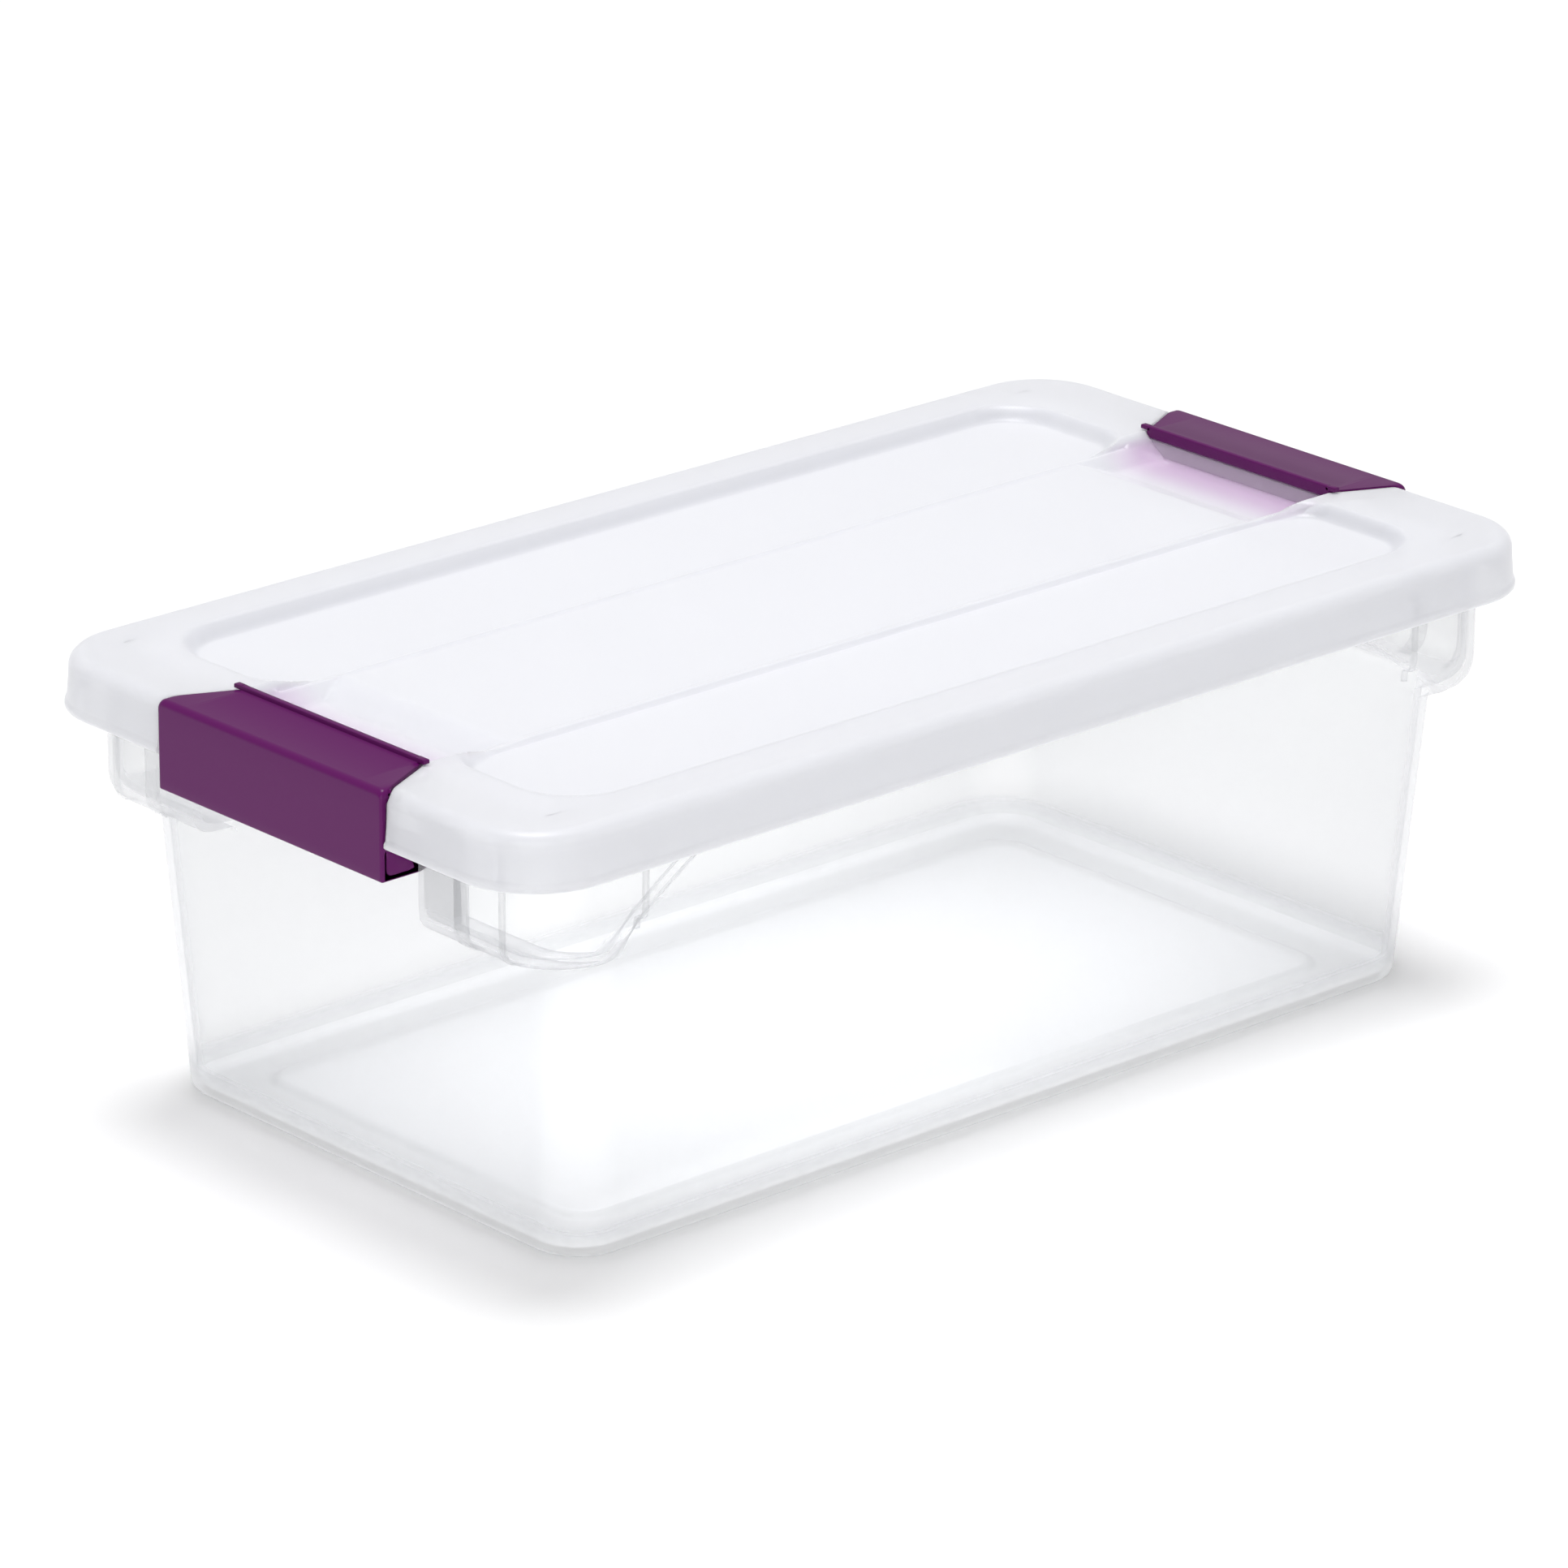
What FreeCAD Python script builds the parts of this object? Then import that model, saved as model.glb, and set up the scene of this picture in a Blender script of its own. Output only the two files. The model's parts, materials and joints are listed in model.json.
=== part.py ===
import FreeCAD, Part
import math
import os

# A clear shoe box: an open tub, a lift-off lid and two snap latches.
# X runs along the box, Y across it, +Z up. The origin is at the middle of the underside.
# All lengths are in millimetres.

# Whole box
box_length = 356.0
box_width = 194.0
border_height = 122.4

# Tub
end_overhang = 29.0
side_overhang = 17.0
end_draft = math.radians(2.9)
side_draft = math.radians(4.2)
tub_wall = 1.8
floor_thickness = 2.0
base_corner_radius = 15.0
base_edge_radius = 3.0
base_ring_width = 17.5
base_panel_rise = 1.4
base_panel_corner_radius = 8.0

# Tub mouth and rim
side_shelf_width = 2.0
mouth_corner_radius = 19.0
rim_thickness = 1.8
rim_gap = 4.0

# Corner shoulders under the rim
shoulder_depth = 40.0
shoulder_length = 50.0
shoulder_side_step = 1.8
shoulder_corner_radius = 17.0
shoulder_foot_slope = 4.5
shoulder_runout = 27.0
shoulder_rib_height = 0.7
shoulder_wide_rib = 4.6
shoulder_thin_rib = 1.4
wide_rib_from_cheek = 14.0
thin_rib_from_corner = 13.5
side_rib_from_end = 34.0

# Lid
lid_wall = 1.6
skirt_depth = 14.6
skirt_flare = 0.7
skirt_bead_height = 1.6
skirt_bead_proud = 0.5
lid_corner_radius = 23.0
lid_edge_radius = 4.0
border_end_width = 27.0
border_side_width = 16.4
recess_corner_radius = 18.0
recess_depth = 3.5
recess_end_slope = 5.0
recess_side_slope = 4.0
panel_inset = 1.5
panel_rise = 1.0
panel_edge_slope = 0.8
panel_corner_radius = 9.0
pocket_panel_gap = 1.0
pocket_depth = 5.9
pocket_reach = 19.0
pocket_inner_slope = 10.0
pocket_side_slope = 6.0

# Latches
latch_half_width = 43.6
latch_wall = 2.0
latch_drop = 24.0
latch_reach = 20.9
latch_edge_radius = 1.6
flange_proud = 0.2
flange_taper = 9.0
lip_thickness = 1.8
lip_height = 1.4
lip_edge_radius = 0.6
ear_length = 2.3
rib_thickness = 1.8
rib_count = 5
rib_skirt_gap = 1.2

# Hinge bars
pivot_inset = 13.5
pivot_height_above_latch_foot = 5.0
bar_radius = 2.5
hook_wall = 2.1
throat_half_angle = 50.0
throat_tilt = 35.0
shelf_over_hook = 0.92

# Cutting bodies reach this far past what they cut, and edges are picked within this margin
through = 5.0
edge_margin = 0.2
sweep_steps = 8

# Fits
bar_clearance = 0.08
latch_side_clearance = 0.5
notch_clearance = 0.6
latch_lid_clearance = 0.3
mouth_clearance = 0.5
bar_cut_clearance = 0.4

# What the sizes above give
half_length = box_length / 2
half_width = box_width / 2
base_half_x = half_length - end_overhang
base_half_y = half_width - side_overhang
lid_underside = border_height - lid_wall
skirt_bottom = border_height - skirt_depth
recess_floor = border_height - recess_depth
pocket_floor = border_height - pocket_depth
pocket_wall_x = half_length - latch_reach
pocket_top_half = latch_half_width - flange_taper + notch_clearance
pivot_x = half_length - pivot_inset
latch_foot = border_height + flange_proud - latch_drop
pivot_z = latch_foot + pivot_height_above_latch_foot
bore_radius = bar_radius + bar_clearance
hook_radius = bore_radius + hook_wall
shelf_height = pivot_z + hook_radius + shelf_over_hook
rib_top = skirt_bottom - rib_skirt_gap
flange_top = border_height + flange_proud
flange_underside = flange_top - latch_wall
cover_bar_top = flange_underside - latch_lid_clearance
cover_bar_radius = cover_bar_top - pivot_z
cover_bar_face = half_length - latch_wall - latch_lid_clearance
cheek_y = latch_half_width + latch_side_clearance
mouth_half_x = pocket_wall_x + lid_wall + mouth_clearance + tub_wall
mouth_half_y = base_half_y + shelf_height * math.tan(side_draft) + side_shelf_width
shoulder_bottom = border_height - shoulder_depth
shoulder_half_x = pivot_x + bar_radius
shoulder_top = lid_underside - rim_thickness
panel_height = recess_floor + panel_rise
panel_half_width = pocket_top_half - panel_inset
recess_half_x = half_length - border_end_width
recess_half_y = half_width - border_side_width


def point(x, y, z):
    return FreeCAD.Vector(x, y, z)


def outline(half_x, low_y, high_y, low_radius, high_radius, z):
    """A closed rectangle with one corner radius on its low Y side and another on its high Y side."""
    arcs = []
    for sign_x, high in ((1, True), (-1, True), (-1, False), (1, False)):
        radius = high_radius if high else low_radius
        sign_y = 1 if high else -1
        edge_y = high_y if high else low_y
        cut = radius * (1 - math.sqrt(0.5))
        on_end = point(sign_x * half_x, edge_y - sign_y * radius, z)
        middle = point(sign_x * (half_x - cut), edge_y - sign_y * cut, z)
        on_side = point(sign_x * (half_x - radius), edge_y, z)
        first, last = (on_end, on_side) if sign_x == sign_y else (on_side, on_end)
        arcs.append(Part.Arc(first, middle, last).toShape())
    edges = []
    for index, arc in enumerate(arcs):
        following = arcs[(index + 1) % len(arcs)]
        edges += [arc, Part.makeLine(arc.lastVertex(True).Point, following.firstVertex(True).Point)]
    return Part.Wire(edges)


def rounded_outline(half_x, half_y, radius, z):
    """A closed rectangle with round corners, centred on the Z axis."""
    return outline(half_x, -half_y, half_y, radius, radius, z)


def tapered_block(*sections):
    """A solid through rounded outlines, each (half_x, half_y, radius, z)."""
    wires = [rounded_outline(*section) for section in sections]
    return Part.makeLoft(wires, True, True)


def across(points, half_y):
    """A profile in the XZ plane made a solid from -half_y to +half_y."""
    corners = [point(x, -half_y, z) for x, z in points]
    face = Part.Face(Part.makePolygon(corners + corners[:1]))
    return face.extrude(point(0, 2 * half_y, 0))


def slab(low, high):
    """A box between two corners."""
    size = [high[i] - low[i] for i in range(3)]
    return Part.makeBox(size[0], size[1], size[2], point(*low))


def plan_prism(points, bottom, top):
    """An outline in the XY plane made a solid between two heights."""
    corners = [point(x, y, bottom) for x, y in points]
    face = Part.Face(Part.makePolygon(corners + corners[:1]))
    return face.extrude(point(0, 0, top - bottom))


def other_end(shape):
    """The same shape at the other end of the box."""
    turned = shape.copy()
    turned.rotate(point(0, 0, 0), point(0, 0, 1), 180)
    return turned


def both_ends(shape):
    return [shape, other_end(shape)]


# Tub ------------------------------------------------------------------------


def tub_section(z, inset):
    """The drafted wall of the tub at one height, moved in by inset."""
    return (
        base_half_x + z * math.tan(end_draft) - inset,
        base_half_y + z * math.tan(side_draft) - inset,
        base_corner_radius - inset,
        z,
    )


def shoulder_block(inset):
    """The wider shape that the four shoulders are cut from."""
    slope_top = shoulder_bottom + shoulder_foot_slope
    low_side = base_half_y + slope_top * math.tan(side_draft) + shoulder_side_step
    high_side = base_half_y + shelf_height * math.tan(side_draft) + shoulder_side_step
    radius = shoulder_corner_radius - inset
    foot_inset = inset + shoulder_foot_slope
    end_x = shoulder_half_x - inset
    return tapered_block(
        (shoulder_half_x - foot_inset, low_side - foot_inset, radius, shoulder_bottom + inset),
        (end_x, low_side - inset, radius, slope_top + inset),
        (end_x, high_side - inset, radius, shelf_height),
        (end_x, high_side - inset, radius, shoulder_top - inset),
    )


def shoulder_reach(inset):
    """The stretch of the +X end that has shoulders; its inner end sweeps up to the rim."""
    outer = shoulder_half_x + through
    start = shoulder_half_x - shoulder_length + inset + shoulder_runout
    bottom = shoulder_bottom + inset
    sweep = []
    for step in range(sweep_steps + 1):
        turn = math.pi / 2 * step / sweep_steps
        sweep.append((
            start - shoulder_runout * math.sin(turn),
            bottom + (shoulder_top - bottom) * (1 - math.cos(turn)),
        ))
    return across([(outer, bottom)] + sweep + [(outer, shoulder_top)], half_width)


def shoulders(inset):
    """Four corner shoulders, with the latch pocket left open between each pair."""
    pocket = slab(
        (base_half_x - shoulder_length, -cheek_y - inset, 0),
        (half_length + through, cheek_y + inset, border_height),
    )
    pair = shoulder_block(inset).common(shoulder_reach(inset)).cut(pocket)
    return both_ends(pair)


def shoulder_ribs():
    """Upright ribs on the outside of one end's two shoulders."""
    foot = shoulder_bottom + shoulder_foot_slope
    side_foot = base_half_y + foot * math.tan(side_draft) + shoulder_side_step
    wide = cheek_y + wide_rib_from_cheek
    thin = side_foot - thin_rib_from_corner
    on_side = shoulder_half_x - side_rib_from_end
    inner_face = shoulder_half_x - tub_wall
    strips = []
    for side in (-1, 1):
        for start, width in ((wide, shoulder_wide_rib), (thin, shoulder_thin_rib)):
            low_y, high_y = sorted((side * start, side * (start + width)))
            strips.append(slab((inner_face, low_y, foot), (half_length, high_y, border_height)))
        low_y, high_y = sorted((side * (side_foot - tub_wall), side * half_width))
        strips.append(slab((on_side, low_y, foot), (on_side + shoulder_thin_rib, high_y, border_height)))
    raised = shoulder_block(-shoulder_rib_height).common(shoulder_reach(0))
    return [raised.common(strip) for strip in strips]


def make_tub():
    outer = tapered_block(tub_section(0, 0), tub_section(shelf_height, 0))
    foot_edges = [edge for edge in outer.Edges if edge.BoundBox.ZMax < floor_thickness]
    outer = outer.makeFillet(base_edge_radius, foot_edges)
    ring = tapered_block(
        (mouth_half_x, mouth_half_y, mouth_corner_radius, shelf_height - tub_wall),
        (mouth_half_x, mouth_half_y, mouth_corner_radius, lid_underside),
    )
    rim_inset = lid_wall + rim_gap
    rim_plan = (half_length - rim_inset, half_width - rim_inset, lid_corner_radius - rim_inset)
    flange = tapered_block(rim_plan + (shoulder_top,), rim_plan + (lid_underside,))
    gap_half = latch_half_width + notch_clearance + lid_wall + mouth_clearance
    latch_gap = slab(
        (mouth_half_x, -gap_half, shoulder_top - through),
        (half_length, gap_half, border_height),
    )
    flange = flange.cut(both_ends(latch_gap))
    solid = outer.fuse([ring, flange] + shoulders(0))
    for rib in shoulder_ribs():
        solid = solid.fuse(both_ends(rib))

    hollow = tapered_block(
        tub_section(floor_thickness, tub_wall),
        tub_section(shelf_height + through, tub_wall),
    )
    mouth_plan = (mouth_half_x - tub_wall, mouth_half_y - tub_wall, mouth_corner_radius - tub_wall)
    hollow_ring = tapered_block(mouth_plan + (shelf_height,), mouth_plan + (border_height,))
    solid = solid.cut([hollow, hollow_ring] + shoulders(tub_wall))

    panel_x = base_half_x - base_ring_width
    panel_y = base_half_y - base_ring_width
    panel = tapered_block(
        (panel_x + tub_wall, panel_y + tub_wall, base_panel_corner_radius + tub_wall,
         base_panel_rise),
        (panel_x, panel_y, base_panel_corner_radius, floor_thickness + base_panel_rise),
    )
    below = tapered_block(
        (panel_x, panel_y, base_panel_corner_radius, -through),
        (panel_x, panel_y, base_panel_corner_radius, base_panel_rise),
    )
    solid = solid.fuse(panel).cut(below)

    low_rim_top = cover_bar_top - lid_wall - bar_cut_clearance
    low_rim = slab(
        (mouth_half_x - tub_wall - mouth_clearance, -cheek_y, low_rim_top),
        (half_length, cheek_y, border_height),
    )
    solid = solid.cut(both_ends(low_rim))
    bar = Part.makeCylinder(
        bar_radius,
        2 * cheek_y + tub_wall,
        point(pivot_x, -cheek_y - tub_wall / 2, pivot_z),
        point(0, 1, 0),
    )
    return solid.fuse(both_ends(bar)).removeSplitter()


# Lid ------------------------------------------------------------------------


def notch_plan(grow):
    """The plan of one latch notch, as wide as the latch and its clearance."""
    wide = latch_half_width + notch_clearance + grow
    narrow = wide - flange_taper
    front = half_length - latch_wall
    back = pocket_wall_x - notch_clearance
    outer = half_length + through
    return plan_prism(
        [(back, -narrow), (front, -wide), (outer, -wide), (outer, wide), (front, wide), (back, narrow)],
        skirt_bottom - through / 2,
        border_height + through,
    )


def cover_bar(shrink):
    """The rounded bar of the lid that the latch closes over, in the XZ plane."""
    radius = cover_bar_radius - shrink
    face = cover_bar_face - shrink
    bottom = skirt_bottom - through
    shoulder_z = pivot_z + math.sqrt(radius ** 2 - (face - pivot_x) ** 2)
    middle = (math.atan2(shoulder_z - pivot_z, face - pivot_x) + math.pi / 2) / 2
    back = pocket_wall_x - through

    def at(x, z):
        return point(x, -half_width, z)

    arc = Part.Arc(
        at(face, shoulder_z),
        at(pivot_x + radius * math.cos(middle), pivot_z + radius * math.sin(middle)),
        at(pivot_x, pivot_z + radius),
    ).toShape()
    edges = [
        Part.makeLine(at(back, bottom), at(face, bottom)),
        Part.makeLine(at(face, bottom), at(face, shoulder_z)),
        arc,
        Part.makeLine(at(pivot_x, pivot_z + radius), at(back, pivot_z + radius)),
        Part.makeLine(at(back, pivot_z + radius), at(back, bottom)),
    ]
    return Part.Face(Part.Wire(edges)).extrude(point(0, 2 * half_width, 0))


def pocket(grow):
    """The finger pocket behind one latch; grow gives its outside."""
    back = pocket_wall_x + grow
    low_x = pocket_wall_x - pocket_reach - grow
    slope = pocket_inner_slope / (panel_height - pocket_floor)
    panel_half = panel_half_width - pocket_panel_gap + grow

    def ring(half, inner_x, z):
        plan = ((back, -half), (back, half), (inner_x, half), (inner_x, -half), (back, -half))
        return Part.makePolygon([point(x, y, z) for x, y in plan])

    return Part.makeLoft([
        ring(panel_half - pocket_side_slope, low_x, pocket_floor - grow),
        ring(panel_half, low_x - pocket_inner_slope, panel_height - grow),
        ring(pocket_top_half + grow, low_x - slope * (border_height - pocket_floor), border_height),
    ], True, True)


def recess(grow):
    """The sunken middle of the lid: a centre band and, a step lower, a trough on each side of it."""
    end_slope = recess_end_slope / recess_depth
    band_half_x = recess_half_x - end_slope * (border_height - panel_height)
    band = tapered_block(
        (band_half_x + grow, panel_half_width + grow, panel_edge_slope + grow, panel_height - grow),
        (recess_half_x + grow, panel_half_width + grow, panel_edge_slope + grow, border_height),
    )
    inner_slope = panel_edge_slope / panel_rise
    low_inner = panel_half_width + panel_edge_slope - grow
    high_inner = low_inner - inner_slope * recess_depth
    trough = Part.makeLoft([
        outline(recess_half_x - recess_end_slope + grow,
                low_inner, recess_half_y - recess_side_slope + grow,
                panel_corner_radius + grow, recess_corner_radius - recess_side_slope + grow,
                recess_floor - grow),
        outline(recess_half_x + grow, high_inner, recess_half_y + grow,
                panel_corner_radius + recess_side_slope + grow, recess_corner_radius + grow, border_height),
    ], True, True)
    return [band] + both_ends(trough)


def make_lid():
    above_bead = skirt_bottom + skirt_bead_height
    skirt_top = skirt_bead_proud + skirt_flare
    outer = tapered_block(
        (half_length, half_width, lid_corner_radius, skirt_bottom),
        (half_length, half_width, lid_corner_radius, above_bead),
        (half_length - skirt_bead_proud, half_width - skirt_bead_proud, lid_corner_radius,
         above_bead + skirt_bead_proud),
        (half_length - skirt_top, half_width - skirt_top, lid_corner_radius, border_height),
    )
    top_edges = [edge for edge in outer.Edges if edge.BoundBox.ZMin > border_height - skirt_flare]
    outer = outer.makeFillet(lid_edge_radius, top_edges)
    low_in = skirt_bead_proud + lid_wall
    high_in = skirt_top + lid_wall
    inner = tapered_block(
        (half_length - low_in, half_width - low_in, lid_corner_radius - lid_wall, skirt_bottom - through),
        (half_length - high_in, half_width - high_in, lid_corner_radius - lid_wall, lid_underside),
    )
    inner_edges = [edge for edge in inner.Edges if edge.BoundBox.ZMin > lid_underside - skirt_flare]
    inner = inner.makeFillet(lid_edge_radius - lid_wall, inner_edges)
    outside_notch = notch_plan(lid_wall).cut(cover_bar(lid_wall)).common(outer)
    notch = notch_plan(0).cut(cover_bar(0))
    shell = outer.cut(inner)
    shell = shell.fuse(recess(lid_wall) + both_ends(pocket(lid_wall)) + both_ends(outside_notch))
    shell = shell.cut(recess(0) + both_ends(pocket(0)) + both_ends(notch))
    return shell.removeSplitter()


# Latches --------------------------------------------------------------------


def latch_profile():
    """The latch seen from the side: front wall, top flange, foot and C-shaped hook."""
    front = half_length
    back = half_length - latch_reach
    wall = slab(
        (front - latch_wall, -latch_half_width, latch_foot),
        (front, latch_half_width, flange_top),
    )
    foot = slab(
        (pivot_x, -latch_half_width, latch_foot),
        (front, latch_half_width, latch_foot + latch_wall),
    )
    hook = Part.makeCylinder(
        hook_radius, 2 * latch_half_width, point(pivot_x, -latch_half_width, pivot_z), point(0, 1, 0)
    )
    flange = plan_prism([
        (back, -latch_half_width + flange_taper), (front - latch_wall, -latch_half_width),
        (front, -latch_half_width), (front, latch_half_width),
        (front - latch_wall, latch_half_width), (back, latch_half_width - flange_taper),
    ], flange_underside, flange_top)
    ribs = []
    span = 2 * latch_half_width - rib_thickness
    for index in range(rib_count):
        low = -latch_half_width + span * index / (rib_count - 1)
        ribs.append(slab(
            (pivot_x, low, latch_foot),
            (front - latch_wall / 2, low + rib_thickness, rib_top),
        ))
    return wall.fuse([foot, hook, flange] + ribs)


def make_latch():
    solid = latch_profile().removeSplitter()
    front_edges = [
        edge for edge in solid.Edges
        if edge.BoundBox.XMin > half_length - edge_margin and edge.BoundBox.ZMin > flange_top - edge_margin
    ]
    solid = solid.makeFillet(latch_edge_radius, front_edges)
    back = half_length - latch_reach
    lip_half = latch_half_width - flange_taper + ear_length
    lip = slab(
        (back, -lip_half, border_height + latch_lid_clearance),
        (back + lip_thickness, lip_half, flange_top + lip_height),
    )
    lip_edges = [edge for edge in lip.Edges if edge.BoundBox.ZMin > flange_top]
    lip = lip.makeFillet(lip_edge_radius, lip_edges)
    lip_root = slab(
        (back, -latch_half_width + flange_taper, flange_underside),
        (back + lip_thickness, latch_half_width - flange_taper, flange_top + lip_height / 2),
    )
    solid = solid.fuse([lip, lip_root])
    bore = Part.makeCylinder(
        bore_radius, box_width, point(pivot_x, -half_width, pivot_z), point(0, 1, 0)
    )
    reach = 2 * (bar_radius + hook_wall)
    low_angle = math.radians(90 + throat_tilt - throat_half_angle)
    high_angle = math.radians(90 + throat_tilt + throat_half_angle)
    throat = across([
        (pivot_x, pivot_z),
        (pivot_x + reach * math.cos(low_angle), pivot_z + reach * math.sin(low_angle)),
        (pivot_x + reach * math.cos(high_angle), pivot_z + reach * math.sin(high_angle)),
    ], half_width)
    return solid.cut([bore, throat]).removeSplitter()


os.makedirs("parts", exist_ok=True)
tub = make_tub()
lid = make_lid()
far_latch = make_latch()
near_latch = other_end(far_latch)
nodes = {"tub": tub, "lid": lid, "near_latch": near_latch, "far_latch": far_latch}
for name, shape in nodes.items():
    print(name, "solids", len(shape.Solids), "valid", shape.isValid(), "volume %.0f" % shape.Volume)
    shape.exportStep("parts/%s.step" % name)
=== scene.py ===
import json
import math

import bpy
import bmesh
import numpy as np
from mathutils import Matrix, Vector


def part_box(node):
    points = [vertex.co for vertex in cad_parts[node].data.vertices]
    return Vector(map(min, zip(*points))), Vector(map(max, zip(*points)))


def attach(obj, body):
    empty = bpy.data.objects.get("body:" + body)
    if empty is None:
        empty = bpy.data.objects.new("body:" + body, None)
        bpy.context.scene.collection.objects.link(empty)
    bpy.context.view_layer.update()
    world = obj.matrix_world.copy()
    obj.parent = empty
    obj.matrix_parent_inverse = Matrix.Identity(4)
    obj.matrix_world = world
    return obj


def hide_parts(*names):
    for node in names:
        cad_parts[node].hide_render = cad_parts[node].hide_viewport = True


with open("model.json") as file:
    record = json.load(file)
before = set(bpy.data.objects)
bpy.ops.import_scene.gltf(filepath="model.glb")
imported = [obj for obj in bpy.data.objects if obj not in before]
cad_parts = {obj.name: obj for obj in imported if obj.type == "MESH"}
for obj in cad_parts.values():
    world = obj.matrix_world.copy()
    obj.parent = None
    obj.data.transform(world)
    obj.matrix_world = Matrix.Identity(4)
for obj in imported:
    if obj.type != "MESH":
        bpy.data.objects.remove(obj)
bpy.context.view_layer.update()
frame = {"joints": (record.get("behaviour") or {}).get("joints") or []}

scene = bpy.context.scene

# A latch-lid shoe box, put together from the bench up: the tub, the ribs and the hinge bars on it,
# the lid, then a latch at each end. Lengths inside a section are in millimetres; mm turns them
# into scene units. X runs along the box, Y across it, Z up.
mm = 0.001

# --- Tub -----------------------------------------------------------------------------------------
# The open box itself: one clear polypropylene moulding with drafted walls, four hollow corner
# shoulders under the rim and a base panel that stands off the floor. Moulded in one shot, so its
# outer and inner skins follow each other one wall apart.
tub_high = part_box("tub")[1]
rim_x = tub_high.x / mm
rim_y = tub_high.y / mm
rim_top = tub_high.z / mm
pivot = Vector(next(j["pos_m"] for j in frame["joints"] if j["name"] == "far_latch_swing")) / mm
tub_wall = 1.8
base_x, base_y, base_radius = 149.0, 80.0, 15.0
foot_radius = 3.0
end_draft, side_draft = math.tan(math.radians(2.9)), math.tan(math.radians(4.2))
panel_x, panel_y, panel_radius = 131.5, 62.5, 8.0
panel_rise = 1.4
floor_thickness = 2.0
shoulder_x = pivot.x + 2.5
mouth_x, mouth_y, mouth_radius = 161.0, 90.0, 19.0
shoulder_radius = mouth_radius - 2.0
rim_radius, rim_round = 17.4, 0.4
shoulder_bottom, shelf_bottom = 82.4, 107.4
flange_bottom = rim_top - tub_wall
gap_rim_top = rim_top - 2.5
cheek_y = 44.1
tip_x, sweep_x = 108.0, 150.0
panel_rings = (0.1, 0.6, 0.985)
wall_levels, shoulder_levels, foot_levels = 12, 5, 6
# How the wall turns out into a shoulder: shares of the way out, and the rise that goes with each.
shelf_curve = ((0, -1.6), (0.02, -0.5), (0.07, 0), (0.3, 0.15), (0.6, 0.4), (0.78, 1.1), (0.9, 2.4),
               (0.97, 4.2), (1, 6.6))


def smooth(low, high, value):
    """0 below low, 1 above high, and an even S between them."""
    share = np.clip((np.asarray(value, float) - low) / (high - low), 0, 1)
    return share * share * (3 - 2 * share)


def plan_point(column, half_x, half_y, radius):
    """Where a column of the wall meets one rounded rectangle, in the +X +Y quarter."""
    kind, place = column
    if kind == "corner":
        return half_x - radius * (1 - math.cos(place)), half_y - radius * (1 - math.sin(place))
    straight = (half_y if kind == "end" else half_x) - radius
    over = max(place - straight, 0)
    drop = radius - math.sqrt(radius ** 2 - over ** 2)
    return (half_x - drop, place) if kind == "end" else (place, half_y - drop)


def tub_profile(column, inset):
    """One column of the tub's skin from the foot to the rim; inset 0 is outside, a wall is inside."""
    kind, place = column
    out_x, bottom, has_flange = shoulder_x, shoulder_bottom, True
    if kind == "side":
        ramp = (sweep_x - place) / (sweep_x - tip_x)
        ramp = min(max(ramp, 0), 1)
        bottom += (shelf_bottom - bottom) * (ramp + float(smooth(0, 1, ramp))) / 2
    if kind == "end" and place < cheek_y:
        out_x, bottom, has_flange = mouth_x, shelf_bottom, False
    out_radius = shoulder_radius if out_x == shoulder_x else mouth_radius
    points = []

    def add(half_x, half_y, radius, z):
        points.append((*plan_point(column, half_x - inset, half_y - inset, radius - inset), z))

    for turn in np.linspace(0, math.pi / 2, foot_levels) if inset == 0 else ():
        back = foot_radius * (1 - math.sin(turn))
        z = foot_radius * (1 - math.cos(turn))
        add(base_x + z * end_draft - back, base_y + z * side_draft - back, base_radius - back, z)
    first = (foot_radius if inset == 0 else floor_thickness) + 1
    under = bottom + inset
    for z in np.linspace(first, under - 3.0, wall_levels):
        add(base_x + z * end_draft, base_y + z * side_draft, base_radius, z)
    soft = min(1, (flange_bottom - bottom) / (flange_bottom - shoulder_bottom) + 0.15)
    for share, rise in shelf_curve:
        z = under + rise * soft
        wall_x, wall_y = base_x + z * end_draft, base_y + z * side_draft
        add(wall_x + (out_x - wall_x) * share, wall_y + (mouth_y - wall_y) * share,
            base_radius + (out_radius - base_radius) * share, z)
    top = flange_bottom - inset if has_flange else gap_rim_top - 1.0
    for z in np.linspace(under + shelf_curve[-1][1] * soft + 1, top, shoulder_levels):
        add(out_x, mouth_y, out_radius, z)
    edge_top = rim_top if has_flange else gap_rim_top
    if inset == 0:
        edge_x, edge_y, edge_radius = mouth_x, mouth_y, mouth_radius
        if has_flange:
            edge_x, edge_y, edge_radius = rim_x, rim_y, rim_radius
        add(edge_x - rim_round, edge_y - 0.05, edge_radius, top)
        add(edge_x, edge_y, edge_radius, top + rim_round)
        add(edge_x, edge_y, edge_radius, edge_top - rim_round)
        add(edge_x - rim_round, edge_y - 0.3, edge_radius - 0.3, edge_top)
    else:
        add(mouth_x, mouth_y, mouth_radius, top + 0.02)
        add(mouth_x, mouth_y, mouth_radius, edge_top - rim_round)
        add(mouth_x + rim_round, mouth_y + rim_round, mouth_radius + rim_round, edge_top)
    return np.array(points)


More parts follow.
